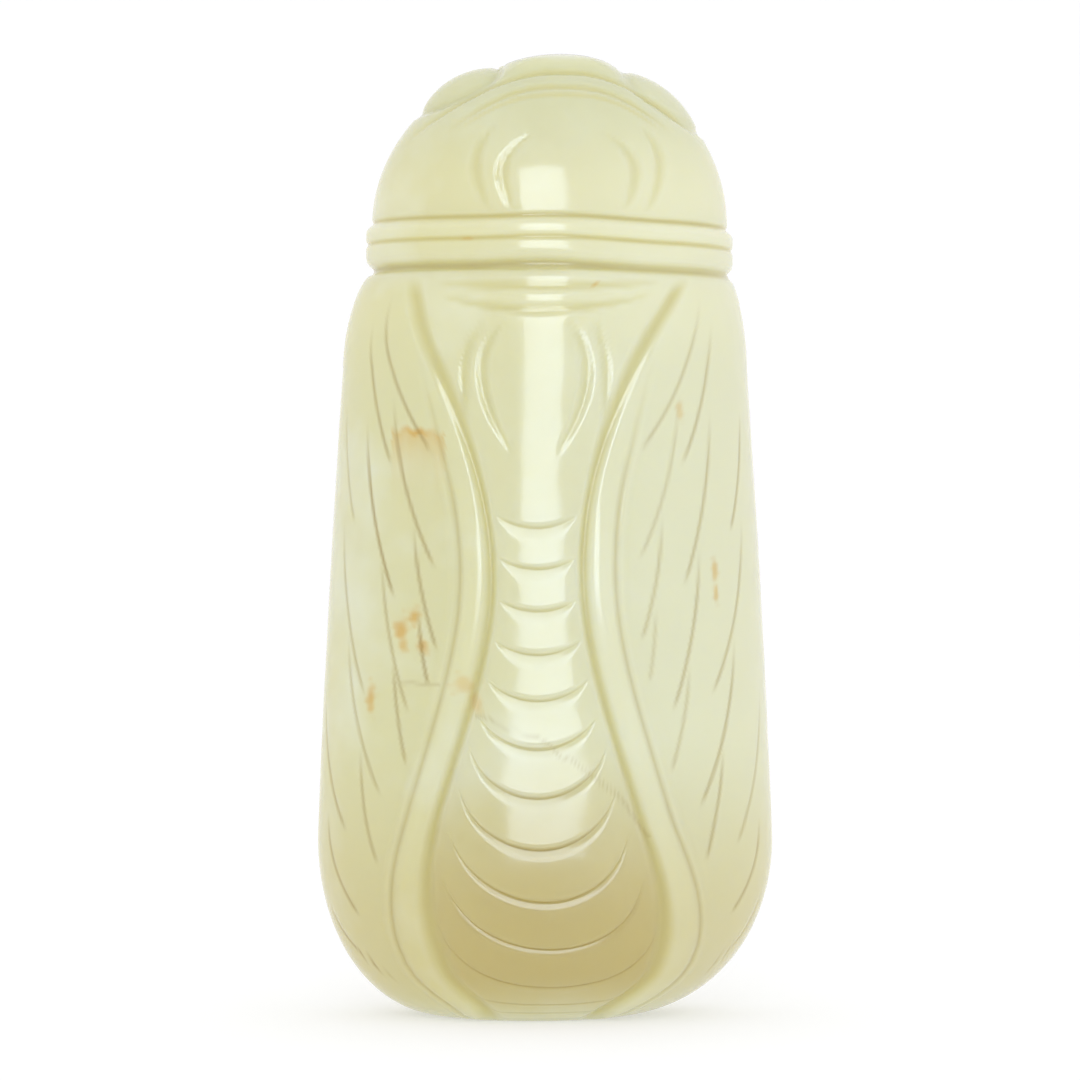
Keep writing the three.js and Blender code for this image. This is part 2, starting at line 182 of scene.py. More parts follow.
half = np.concatenate([np.linspace(start, end, count, endpoint=False) for start, end, count in COLUMN_RUNS])
column = np.concatenate([half, [4], -half[:0:-1]])[None, :]
from_middle = np.abs(column)
crowded_lines = np.concatenate([all_rings - 0.1, [COLLAR_BOTTOM, COLLAR_MIDDLE, COLLAR_TOP]])
row = crowded_rows(ROWS, crowded_lines)[:, None]
climb = np.zeros((ROWS, column.size))
for settling in range(16):
    reached = row + climb
    row_across = section(reached)[1] * np.sin(np.radians(column_angle(np.minimum(from_middle, 1), reached)))
    climb = blend(climb, ring_arc(row, row_across)[0], 0.5)
climb = climb * (1 - ramp(from_middle, 2, 3))
near_collar = ramp(row, 46.5, 49.5) * (1 - ramp(row, 55, 60))
lean = collar_lean(NECK_HALF_WIDTH * np.sin(np.radians(column_angle(column, HEAD_LEVEL))))
level = row + climb + near_collar * lean
angle = column_angle(column, level)
print("grid of", level.shape[0], "rows and", level.shape[1], "columns")

# %% [markdown]
# ## Measures at every point
# The formulas that follow need a few lengths at each point: how far it lies from the middle line, and how
# many millimetres one degree is. The carver's middle line isn't quite straight, so the carving is swung round
# by a few degrees, one way at the head and tail and the other way between. Three empty arrays will collect
# the relief, the painted shade in the cuts, and the dust that lies in them.

# %% Lengths, turn and empty arrays
side = np.abs(angle)
on_back = side < 90
centre, width, depth, height = section(level)
across = width * np.sin(np.radians(angle))
per_degree = np.hypot(width * np.cos(np.radians(angle)), depth * np.sin(np.radians(angle))) * np.pi / 180
turn = (WAIST_TURN + (TAIL_TURN - WAIST_TURN) * (1 - ramp(level, -2, 15))
        + (SHOULDER_TURN - WAIST_TURN) * ramp(level, 26, 44)
        + (HEAD_TURN - SHOULDER_TURN) * ramp(level, 45, 56))
body_fade = (1 - ramp(level, 48.8, 50.3)) * ramp(level, FOOT_LEVEL + 0.5, FOOT_LEVEL + 4)
relief = np.zeros_like(level)
# painted shade: a deeper yellow tint laid into the grooves, where light would bounce inside the cut
cut = np.zeros_like(level)
dirt = np.zeros_like(level)
print("one degree is", np.round(per_degree.min(), 2), "to", np.round(per_degree.max(), 2), "mm")

# %% [markdown]
# ## Two tools: the soft hump and the wheel cut
# Jade is too hard for a knife. It is ground with small wheels and wet grit, which leave round-bottomed cuts
# with crisp edges. A parabola gives that shape. Forms that were rubbed smooth by hand get a hump
# that dies out without an edge.

# %% Shapes of the tools


def hump(t):
    """Soft bell: the square of one less t squared, and 0 outside -1 to 1."""
    return np.clip(1 - t * t, 0, None) ** 2


def wheel(t):
    """Wheel cut: one less t squared, with crisp edges at -1 and 1."""
    return np.clip(1 - t * t, 0, None)


def taper(along):
    """Width of a cut along its length: a half circle, widest at 0 and closed at -1 and 1."""
    return np.sqrt(np.clip(1 - along * along, 1e-6, None))


def crescent(off, along, half_width):
    """Wheel cut, widest and deepest in the middle (along 0), that dies out at both ends (along -1, 1)."""
    return np.where(np.abs(along) < 1, taper(along) * wheel(off / (half_width * taper(along))), 0)


print("half height of the soft hump at", round(float(np.sqrt(1 - np.sqrt(0.5))), 2), "of its half width")

# %% [markdown]
# ## Flatter parts of the back
# The highlight is wider on the head and low on the abdomen than on the thorax, so the stone was ground a
# little flatter there. A shallow hump taken off the middle of the back does that.

# %% Flats on the head and the abdomen
HEAD_FLAT, HEAD_FLAT_HALF_WIDTH = 0.35, 8.0
TAIL_FLAT, TAIL_FLAT_HALF_WIDTH = 0.12, 7.5
on_head = ramp(level, 49.5, 51.5) * (1 - ramp(level, 58, 64)) * on_back
on_tail = (1 - ramp(level, 10, 24)) * ramp(level, FOOT_LEVEL, FOOT_LEVEL + 6) * on_back
relief -= HEAD_FLAT * on_head * hump(across / HEAD_FLAT_HALF_WIDTH)
relief -= TAIL_FLAT * on_tail * hump(across / TAIL_FLAT_HALF_WIDTH)
print("flats take off up to", round(float(-relief.min()), 2), "mm")

# %% [markdown]
# ## Wings
# Each wing has a raised rib along its inner margin, with a groove between the rib and the abdomen. At the
# shoulder the rib dies out and only a wide soft valley is left. A fine line with a raised lip closes the rib
# on the side of the wing. The grid runs along all of them, so each is a shape across the columns.

# %% Groove and rib of the wings
WING_GROOVE, GROOVE_HALF_WIDTH, SHOULDER_WIDENING, TAIL_WIDENING = 0.24, 0.5, 0.45, 0.5
RIB_HEIGHT, RIB_CREST = 0.2, 0.6
LINE_DEPTH, LINE_HALF_WIDTH, LINE_DIRT = 0.08, 0.3, 0.3
LINE_LIP, LINE_LIP_HALF_WIDTH = 0.06, 0.45
near_tail = 1 - ramp(level, 3, 15)
near_shoulder = ramp(level, 34, 46)
from_groove = (side - wing_groove_angle(level)) * per_degree
rib_width = rib_angle(level) * per_degree
on_rib = from_groove / rib_width
from_line = (on_rib - 1) * rib_width
groove_half_width = GROOVE_HALF_WIDTH + SHOULDER_WIDENING * near_shoulder + TAIL_WIDENING * near_tail
groove_cut = hump(from_groove / groove_half_width)
line_cut = hump(from_line / LINE_HALF_WIDTH)
rib = RIB_HEIGHT * (1 - ramp(level, 31, 41)) * hump((on_rib - RIB_CREST) / RIB_CREST)
lip_of_line = LINE_LIP * (1 - near_shoulder) * hump(from_line / LINE_LIP_HALF_WIDTH - 1)
relief += body_fade * (rib + lip_of_line - WING_GROOVE * groove_cut
                       - LINE_DEPTH * (1 - near_shoulder) * line_cut)
# painted shade in the wing groove
cut = np.maximum(cut, body_fade * groove_cut)
dirt = np.maximum(dirt, body_fade * LINE_DIRT * (1 - near_shoulder) * line_cut)
gap = 2 * BODY_HALF_WIDTH * np.sin(np.radians(WAIST_ANGLE))
print("gap between the wing grooves at the waist:", round(float(gap), 1), "mm")

# %% [markdown]
# ## Segments of the abdomen
# The abdomen is a row of segments that overlap like roof tiles, each a little prouder at its lower end. The
# height of the stone over them is a saw tooth up the rows, and the teeth are taller towards the tail.

# %% Overlapping segments
SEGMENT_LIFT, TAIL_LIFT = 0.1, 1.1
on_abdomen = (1 - ramp(from_middle, 0.6, 0.9)) * ramp(level, 0, 8) * (row < RING_TOP)
segment = np.interp(row, all_rings[::-1], np.arange(len(all_rings))[::-1])
relief += SEGMENT_LIFT * (1 + TAIL_LIFT * ramp(segment, 3, 7)) * (segment % 1) * on_abdomen
print("segments:", len(all_rings) - 1, "lifted by up to", round(SEGMENT_LIFT * (1 + TAIL_LIFT), 2), "mm")

# %% [markdown]
# ## Rings between the segments
# Eleven curved cuts cross the abdomen between the ribs, and three more are crowded together under the tail.
# The wheel was tipped: the upper wall of a cut is steep, and the lower one is a gentle facet that ends in an
# edge. Each cut dies out before it reaches the ribs, so its width follows a half circle along it.

# %% Rings across the back
RING_GROOVE, RING_WALL, RING_FACET, TAIL_FACET = 0.17, 0.16, 0.85, 0.45
FIRST_RING_LENGTH, LAST_RING_LENGTH, LONGEST_ARC = 0.78, 0.97, 0.95
DUST_HALF_WIDTH = 0.14
slope = ring_arc(row, row_across)[1]
half_gap = np.max(np.where(from_middle < 1, row_across, 0), axis=1, keepdims=True)
for number, line in enumerate(all_rings):
    small = 1 if number < RING_COUNT else 0.5
    down = min(number / (RING_COUNT - 1), 1)
    length = blend(FIRST_RING_LENGTH, LAST_RING_LENGTH, down)
    radius = RING_RADIUS + RING_SPREAD * max(RING_SPREAD_LEVEL - line, 0)
    half_length = np.minimum(length * half_gap, LONGEST_ARC * radius)
    along = np.where(from_middle < 1, row_across / half_length, 1)
    off = (row - line) * slope
    facet = blend(RING_FACET, TAIL_FACET, down)
    off_share = np.where(off > 0, off / RING_WALL, -off / facet) / (small * taper(along))
    groove = np.where(along < 1, np.clip(1 - off_share, 0, None) * taper(along), 0) * body_fade
    relief -= RING_GROOVE * small * groove
    # painted shade in the ring cut
    cut = np.maximum(cut, 0.5 * groove)
    dust = crescent(off, along, DUST_HALF_WIDTH) * body_fade
    dirt = np.maximum(dirt, blend(0.15, 0.6, ramp(number, 3, 8)) * dust)
print("rings cut, deepest relief:", round(float(relief.min()), 2), "mm")

# %% [markdown]
# ## Thorax
# Under the collar two short lines curve across the thorax, and two pairs of crescents face each other on it
# like brackets. All are wheel cuts that die out at both ends.

# %% Lines and brackets on the thorax
# Each line: its level in the middle, its rise at the ends and half its length
THORAX_LINES = ((49.4, 0.25, 7.4), (47.85, 0.95, 7.0))
THORAX_DEPTH, THORAX_HALF_WIDTH = 0.2, 0.42
# the second number is the strength of the painted shade in the brackets
BRACKET_DEPTH, BRACKET_SHADE = 0.18, 0.35
for line, rise, half_span in THORAX_LINES:
    along = across / half_span
    groove = crescent(level - line - rise * along ** 2, along, THORAX_HALF_WIDTH) * on_back
    relief -= THORAX_DEPTH * groove
    # painted shade in the thorax line
    cut = np.maximum(cut, 0.7 * groove)


def bracket(gap, middle, top, bottom, bend, half_width, shift=0):
    """Pair of brackets: at a level they stand gap apart from the middle line on either side, less the bend
    times the square of the distance from their middle, and they end at the top and bottom levels."""
    away = level - middle
    along = np.where(away > 0, away / (top - middle), away / (middle - bottom))
    place = gap - np.where(away > 0, bend[0], bend[1]) * away ** 2
    return crescent(np.abs(across - shift) - place, along, half_width) * on_back


for groove in (bracket(3.5, 43.9, 47.0, 38.4, (0.14, 0.065), 0.5),
               bracket(4.75, 43.5, 47.3, 40.4, (0.085, 0.015), 0.4)):
    relief -= BRACKET_DEPTH * groove
    # painted shade in the thorax brackets
    cut = np.maximum(cut, BRACKET_SHADE * groove)
print("brackets cut, deepest relief so far:", round(float(relief.min()), 2), "mm")

# %% [markdown]
# ## Collar
# Two rounded bands run right round the neck between three grooves, of which the lowest is the widest. The
# grid rows lean with the collar, so the bands are a shape up the rows.

# %% Bands of the collar
COLLAR_HEIGHT, COLLAR_DIRT, DIRT_HALF_WIDTH = 0.4, 0.16, 0.2
# Each groove: its level, half width and depth
COLLAR_GROOVES = ((COLLAR_BOTTOM, 0.5, 0.14), (COLLAR_MIDDLE, 0.3, 0.14), (COLLAR_TOP, 0.3, 0.1))
band = ramp(row, COLLAR_BOTTOM, COLLAR_BOTTOM + 0.8) * (1 - ramp(row, COLLAR_TOP - 0.6, COLLAR_TOP))
relief += COLLAR_HEIGHT * band
for line, half_width, sink in COLLAR_GROOVES:
    groove = hump((row - line) / half_width)
    relief -= sink * groove
    # painted shade in the collar groove
    cut = np.maximum(cut, groove)
    dirt = np.maximum(dirt, COLLAR_DIRT * hump((row - line) / DIRT_HALF_WIDTH))
print("collar from", COLLAR_BOTTOM, "to", COLLAR_TOP, "mm")

# %% [markdown]
# ## Head
# Two arched lines cross the head, the brow and the crown, with a faint third line under the brow. They fall
# away faster and faster to the sides and die out there, so the cube of a sine gives their path.

# %% Brow and crown
BROW_LEVEL, BROW_DROP, CROWN_LEVEL, CROWN_DROP, BROW_ANGLE = 64.3, 5.7, 66.3, 4.2, 55.0
brow_fade = (1 - ramp(side, 34, 50)) * on_back
crown_fade = (1 - ramp(side, 50, 75)) * on_back


def arch(top, drop):
    """Line over the head: falls from its top with the cube of the sine of the angle."""
    return top - drop * (np.abs(np.sin(np.radians(angle))) / np.sin(np.radians(BROW_ANGLE))) ** 3


for line, half_width, sink, fade in ((arch(BROW_LEVEL, BROW_DROP), 0.45, 0.15, brow_fade),
                                     (arch(BROW_LEVEL - 0.9, BROW_DROP), 0.32, 0.06, brow_fade ** 3),
                                     (arch(CROWN_LEVEL, CROWN_DROP), 0.5, 0.18, crown_fade)):
    groove = fade * wheel((level - line) / half_width)
    relief -= sink * groove
    # painted shade in the lines of the head
    cut = np.maximum(cut, 0.7 * groove)
print("lines of the head at levels", BROW_LEVEL, "and", CROWN_LEVEL)

# %% [markdown]
# ## Eyes, crest and head brackets
# The eyes stand out at the upper corners beside the crown, each with a shallow moat round it. A low crest
# rises from the crown to the lip of the mouth. Two pairs of brackets mark the plate behind the head.

# %% Eyes, crest and brackets of the head
EYE_ANGLE, EYE_HALF_ANGLE, CREST_HEIGHT = 82.0, 36.0, 0.6
EYE_MOAT, MOAT_PLACE, MOAT_HALF_WIDTH = 0.14, 1.08, 0.2
# Each eye: its side, level, half height and bulge
EYES = ((-1, 65.2, 2.7, 0.6), (1, 64.2, 3.2, 0.4))
for wing, eye_level, half_height, bulge in EYES:
    from_eye = np.hypot((wing * angle - EYE_ANGLE) / EYE_HALF_ANGLE, (level - eye_level) / half_height)
    relief += bulge * np.clip(1 - from_eye ** 2, 0, None) ** 0.9
    relief -= EYE_MOAT * hump((from_eye - MOAT_PLACE) / MOAT_HALF_WIDTH)

above_crown = level - arch(CROWN_LEVEL, CROWN_DROP)
crest_arc = np.clip(1 - (across / LIP_RADIUS) ** 2, 0, None) * on_back
relief += CREST_HEIGHT * crest_arc * ramp(above_crown, 0.0, 2.0)
for groove in (bracket(4.5, 57.2, 60.2, 54.5, (0.25, 0.1), 0.5, 0.45),
               bracket(6.25, 57.7, 60.8, 54.4, (0.15, 0.09), 0.45, 0.45)):
    relief -= BRACKET_DEPTH * groove
    # painted shade in the head brackets
    cut = np.maximum(cut, BRACKET_SHADE * groove)
print("head carved, highest relief:", round(float(relief.max()), 2), "mm")

# %% [markdown]
# ## Belly
# The belly lies a little lower than the wings that fold round it. It is plainer than the back: rings that
# run straight across, a low keel under the head, and three pairs of folded legs as soft rolls.

# %% Wing edge, rings, keel and legs on the belly
WING_THICKNESS, BELLY_RING_GROOVE, BELLY_RING_HALF_WIDTH = 0.4, 0.25, 0.7
KEEL_HEIGHT, KEEL_HALF_ANGLE = 0.3, 6
LEG_TOPS, LEG_FALL, LEG_REACH_ANGLE = (47.5, 43.5, 39.5), 5.5, 42
LEG_HEIGHT, LEG_HALF_WIDTH = 0.35, 1.1
belly = ramp(side, WING_EDGE_ANGLE - 2, WING_EDGE_ANGLE + 2) * body_fade
relief -= WING_THICKNESS * belly
for line in ring_lines:
    groove = belly * hump((level - line) / BELLY_RING_HALF_WIDTH)
    relief -= BELLY_RING_GROOVE * groove
    # painted shade in the belly ring
    cut = np.maximum(cut, 0.8 * groove)

from_keel = (180 - side) / KEEL_HALF_ANGLE
relief += KEEL_HEIGHT * hump(from_keel) * ramp(level, 36, 39) * (1 - ramp(level, 56, 60))
outward = (180 - side) / LEG_REACH_ANGLE
for top in LEG_TOPS:
    leg = top - LEG_FALL * outward ** 1.5
    leg_taper = ramp(outward, 0.06, 0.2) * (1 - ramp(outward, 0.8, 1))
    relief += LEG_HEIGHT * leg_taper * hump((level - leg) / LEG_HALF_WIDTH)
print("belly step of", WING_THICKNESS, "mm at", WING_EDGE_ANGLE, "degrees")

# %% [markdown]
# ## Veins
# The wing veins are thin scratched lines. Each branch runs down almost straight and bends in towards the
# abdomen at its end, and the next branch starts beside it before it ends. Both wings carry the same
# branches, only shifted a little by the hand, so one list of starts and ends serves for both.

# %% Veins on both wings
# Each branch: angle and level of its start, then of its end
VEINS = (((51, 49.2), (29, 38.4)), ((57, 47.4), (42, 37.5)), ((43, 42.4), (27.5, 30.7)),
         ((54.5, 41.3), (41, 29.0)), ((72, 42.0), (61, 33.5)), ((35, 34.7), (27, 25.0)),
         ((47.5, 32.3), (35.5, 21.0)), ((68, 34.2), (50, 22.0)), ((32.5, 28), (30, 22.7)),
         ((41.7, 24.8), (35, 17.5)), ((60, 27.0), (43, 15.0)), ((77, 22.5), (57, 12.3)),
         ((52, 19.0), (45, 11.0)), ((70, 14.1), (57, 7.3)), ((77, 8.7), (57, 1.7)))
VEIN_BEND, VEIN_HALF_WIDTH, VEIN_DEPTH = 1.7, 0.22, 0.045
VEIN_SLIP, VEIN_DIRT, CLEANER_WING = (0.8, 0.3), (0.45, 0.85), 0.75
hand = np.random.default_rng(7)


def vein(wing, start, end):
    """One branch: from its start the angle falls to the end's with a power, the bend, of the way down."""
    way = (start[1] - level) / (start[1] - end[1])
    middle = blend(start[0], end[0], np.clip(way, 0, 1) ** VEIN_BEND)
    lean = (start[0] - end[0]) * per_degree / (start[1] - end[1])
    off = (wing * angle - middle) * per_degree
    off = off / np.sqrt(1 + (VEIN_BEND * np.clip(way, 0, 1) ** (VEIN_BEND - 1) * lean) ** 2)
    ends = ramp(way, 0, 0.35) * (1 - ramp(way, 0.9, 1))
    return np.where(wing * angle > 0, hump(off / VEIN_HALF_WIDTH) * ends, 0)


for wing in (-1, 1):
    for start, end in VEINS:
        slip = hand.normal(0, VEIN_SLIP, (2, 2))
        line = vein(wing, np.add(start, slip[0]), np.add(end, slip[1])) * body_fade
        relief -= VEIN_DEPTH * line
        dirt = np.maximum(dirt, hand.uniform(*VEIN_DIRT) * (1 if wing < 0 else CLEANER_WING) * line)
print("vein branches:", 2 * len(VEINS))

# %% [markdown]
# ## Flaws and stains
# The stone has a few old hairline cracks and rusty stains. They are colour only, so they are kept as numbers
# on the points that the material reads. A jagged break high on one wing has a thin orange rim, and the colour
# fades away below it. A crack is a broken line, with its points thrown a little up or down by chance.

# %% Cracks and the stained break
# Each crack: its two ends across and up the back, its points and their throw
CRACKS = (((-4.7, 20.8), (-0.5, 19.4), 7, 0.12), ((-0.5, 19.4), (4.8, 15.6), 8, 0.12),
          ((4.8, 15.6), (7.0, 12.6), 5, 0.12), ((-10.2, 23.0), (-7.0, 22.9), 6, 0.06))
BREAK_START, BREAK_END = (-10.3, 39.9), (-6.7, 39.4)
CRACK_HALF_WIDTH, BREAK_HALF_WIDTH, BREAK_FADE = 0.2, 0.42, 1.4
plane_x = centre + width * np.sin(np.radians(angle + turn))
rust_chance = np.random.default_rng(11)


def jagged(start, end, steps, throw):
    """Broken line from start to end: evenly spaced points thrown up or down by a random amount."""
    xs = np.linspace(start[0], end[0], steps)
    zs = np.linspace(start[1], end[1], steps) + rust_chance.normal(0, throw, steps)
    return xs, zs


def crack_line(xs, zs, half_width):
    """Soft hump across a broken line drawn over the back, and the distance above that line."""
    inside = (plane_x > xs[0]) & (plane_x < xs[-1]) & on_back
    slope = np.abs(np.gradient(np.interp(plane_x, xs, zs), axis=1) / (np.gradient(plane_x, axis=1) + 1e-9))
    off = (height - np.interp(plane_x, xs, zs)) / np.sqrt(1 + np.clip(slope, 0, 3) ** 2)
    return np.where(inside, hump(off / half_width), 0), off


crack = np.zeros_like(level)
stain = np.zeros_like(level)
for start, end, steps, throw in CRACKS:
    crack = np.maximum(crack, crack_line(*jagged(start, end, steps, throw), CRACK_HALF_WIDTH)[0])
dirt = np.maximum(dirt, 0.3 * crack)
rim, above_rim = crack_line(*jagged(BREAK_START, BREAK_END, 15, 0.17), BREAK_HALF_WIDTH)
under_rim = (plane_x > BREAK_START[0]) & (plane_x < BREAK_END[0]) & on_back & (above_rim < 0)
patchy = 0.65 + 0.35 * np.sin(2.1 * plane_x + 0.8)
stain = np.maximum(stain, 0.9 * rim * patchy)
stain = np.maximum(stain, np.where(under_rim, 0.5 * np.exp(above_rim / BREAK_FADE), 0))
print("cracks:", len(CRACKS), "and points stained by the break:", int((stain > 0.2).sum()))

# %% [markdown]
# ## Rusty spots
# Small spots of rust colour lie in the skin of the stone. Each is a soft blot whose distance is stretched by
# two crossing waves, so that its edge is ragged.

# %% Spots of rust
# Each spot: its place across and up, half width, half height and strength
SPOTS = ((-9.6, 26.5, 0.45, 0.7, 0.8), (-8.7, 27.4, 0.35, 0.5, 0.8), (-9.5, 25.4, 0.3, 0.4, 0.6),
         (-8.2, 25.4, 0.4, 0.45, 0.7), (-5.4, 22.9, 0.7, 0.6, 0.4), (-4.6, 21.6, 0.45, 0.7, 0.4),
         (-11.7, 21.9, 0.28, 0.8, 0.7), (11.4, 30.4, 0.2, 0.8, 0.6), (11.5, 29.0, 0.16, 0.6, 0.6),
         (9.0, 41.2, 0.22, 0.7, 0.4), (3.3, 49.4, 0.2, 0.16, 0.8), (-5.0, 52.6, 0.3, 0.12, 0.5))
for x, z, wide, tall, strength in SPOTS:
    ragged = 1 + 0.35 * np.sin(5 * plane_x + 3 * height) + 0.25 * np.sin(9 * height - 4 * plane_x)
    spot = np.exp(-((((plane_x - x) / wide) ** 2 + ((height - z) / tall) ** 2) * ragged) ** 1.5)
    stain = np.maximum(stain, np.where(on_back, strength * spot, 0))
print("spots:", len(SPOTS), "and stained points in all:", int((stain > 0.2).sum()))

# %% [markdown]
# ## Colour zones, with painted light and shade
# The colour isn't even. It is paler along one side, and painted light lifts it under the foot where the floor
# shades it. Painted shade makes it greyer and darker up the head, where the light from above is weaker. It is
# honey brown at the tail, most of all in the abdomen: partly the stone's colour and partly painted shade on
# the low, downward-facing abdomen. Three slow numbers over the surface hold those zones for the material.

# %% Honey and low shade, pale side and foot light, head shade
abdomen_share = blend(0.45, 1.0, 1 - ramp(from_middle, 0.9, 1.3))
# Honey brown towards the tail: partly the stone's colour, partly painted shade on the low, downward-facing
# abdomen
honey_and_low_shade = (1 - ramp(level, 6, 21)) * ramp(level, -5, 3) * abdomen_share * (1 - 0.6 * ramp(side, 90, 130))
# Paler towards one side, and painted light under the foot, where the floor shades it
pale_side_and_foot_light = np.maximum(ramp(plane_x, -8, 10) * (1 - 0.7 * honey_and_low_shade), 1 - ramp(level, -6, 0))
# Painted shade: greyer and darker up the head, where the light from above is weaker
painted_head_shade = ramp(level, 54, 66) * (1 - ramp(side, 90, 130))
for name, zone in (("honey_and_low_shade", honey_and_low_shade), ("pale_side_and_foot_light", pale_side_and_foot_light), ("painted_head_shade", painted_head_shade)):
    print(name, "up to", round(float(zone.max()), 2))

# %% [markdown]
# ## The carved skin
# The bare oval points are moved along their own normals by the relief. The normal is the cross product of
# two short steps on the bare stone, one round it and one up it. Polishing by hand leaves the surface very
# slightly wavy, which shows only in the edges of the highlights, so a faint slow ripple is added.

# %% Points of the outside
WAVE_HEIGHT, WAVE_LENGTH, FINE_WAVE_HEIGHT, FINE_WAVE_LENGTH = 0.04, 8.0, 0.01, 3.0


def bare_points(level, angle):
    """Points of the bare stone: centre plus width times the sine, minus depth times the cosine, height."""
    centre, width, depth, height = section(level)
    turned = np.radians(angle)
    return np.stack([centre + width * np.sin(turned), -depth * np.cos(turned), height], axis=-1)


def ripple(points, wavelength, seed):
    """Slow waves: the mean of eight sines with random directions and phases and nearly one wavelength."""
    chance = np.random.default_rng(seed)
    directions = chance.normal(size=(8, 3))
    directions /= np.linalg.norm(directions, axis=1, keepdims=True)
    phases = chance.uniform(0, 2 * np.pi, 8)
    return np.sin(points @ directions.T * (2 * np.pi / wavelength) + phases).mean(axis=-1)


bare = bare_points(level, angle + turn)
around = bare_points(level, angle + turn + 1) - bare_points(level, angle + turn - 1)
upward = bare_points(level + 0.05, angle + turn) - bare_points(level - 0.05, angle + turn)
normal = np.cross(around, upward)
normal /= np.linalg.norm(normal, axis=-1, keepdims=True)
calm = ramp(level, FOOT_LEVEL, FOOT_LEVEL + 4) * (1 - ramp(level, LIP_LEVEL - 2, LIP_LEVEL))
slow_wave = WAVE_HEIGHT * calm * ripple(bare, WAVE_LENGTH, 3)
fine_wave = FINE_WAVE_HEIGHT * calm * ripple(bare, FINE_WAVE_LENGTH, 5)
relief += slow_wave + fine_wave
skin = bare + normal * relief[..., None]
skin[..., 2] = np.maximum(skin[..., 2], 0)
low_corner, high_corner = skin.min(axis=(0, 1)), skin.max(axis=(0, 1))
print("carved skin spans", np.round(low_corner, 2), "to", np.round(high_corner, 2), "mm")

# %% [markdown]
# ## Mouth
# The bottle was drilled from the top. The same columns run on over the lip and down the bore of the neck, so
# that the whole bottle becomes one closed skin. The edges of the rim are rounded by a quarter circle.

# %% Rows of the lip and the bore
RIM_STEP, RIM_ROUNDING, NECK_LENGTH = 0.05, 0.15, 13.0
LIP_TOP = HEAD_LEVEL + HEAD_RISE * np.sin(np.arccos(LIP_RADIUS / NECK_HALF_WIDTH)) + RIM_STEP
round_lip = np.radians(angle[-1] + HEAD_TURN)


def ovals(centre, width, depth, height):
    """Stack of ovals, one row each: sine times the width, minus cosine times the depth, at the height."""
    sizes = np.broadcast_arrays(*np.atleast_1d(centre, width, depth, height))
    centre, width, depth, height = [size[:, None] for size in sizes]
    x = centre + width * np.sin(round_lip)
    return np.stack([x, -depth * np.cos(round_lip), height + 0 * x], axis=-1)


corner = np.radians(np.linspace(0, 90, 4))
rim_out = LIP_RADIUS - RIM_ROUNDING * (1 - np.cos(corner))
rim_in = MOUTH_RADIUS + RIM_ROUNDING * (1 - np.sin(corner))
rim_radius = np.concatenate([rim_out, rim_in])
height_out = LIP_TOP - RIM_STEP * (1 - np.sin(corner))
height_in = LIP_TOP - RIM_ROUNDING * (1 - np.cos(corner))
rim_height = np.concatenate([height_out, height_in])
lip = ovals(MOUTH_SHIFT, rim_radius, rim_radius, rim_height)
bore_end = LIP_TOP - NECK_LENGTH
bore = ovals(MOUTH_SHIFT, MOUTH_RADIUS, MOUTH_RADIUS, np.linspace(LIP_TOP - 2, bore_end, 2))
print("bore of", 2 * MOUTH_RADIUS, "mm, down to", round(float(bore_end), 1), "mm")

# %% [markdown]
# ## Hollow
# Bent tools worked through the bore ground the inside out to leave a wall. Here the hollow opens from the
# bore in a rounded shoulder, follows the outside three millimetres deeper, and ends in a bowl.

# %% Rows of the hollow
WALL, HOLLOW_TOP, HOLLOW_BOTTOM = 3.0, 46.0, 4.0
opening = np.linspace(0, np.pi / 2, 6)[1:]
_, top_width, top_depth, _ = section(np.array(HOLLOW_TOP))
shoulder = ovals(MOUTH_SHIFT * (1 - np.sin(opening)),
                 blend(MOUTH_RADIUS, top_width - WALL, 1 - np.cos(opening)),
                 blend(MOUTH_RADIUS, top_depth - WALL, 1 - np.cos(opening)),
                 blend(bore_end, HOLLOW_TOP, np.sin(opening)))
_, wall_width, wall_depth, wall_height = section(np.linspace(HOLLOW_TOP, TAIL_TOP, 5)[1:])
walls = ovals(0, wall_width - WALL, wall_depth - WALL, wall_height)
bowl = np.linspace(0, np.pi / 2, 7)[1:-1]
bowl_rows = ovals(0, (BODY_HALF_WIDTH - WALL) * np.cos(bowl), (BODY_HALF_DEPTH - WALL) * np.cos(bowl),
                  blend(TAIL_TOP, HOLLOW_BOTTOM, np.sin(bowl)))
inside = np.concatenate([lip, bore, shoulder, walls, bowl_rows])
print("rows over the lip and inside:", len(inside))

# %% [markdown]
# ## One closed mesh
# The grid becomes quads between neighbouring rows and columns, with the last column joined to the first. The
# middle of the foot and the middle of the hollow's floor close the two ends with fans of triangles.
# The numbers for the colours go along as point attributes.

# %% Bottle mesh
MM = 0.001


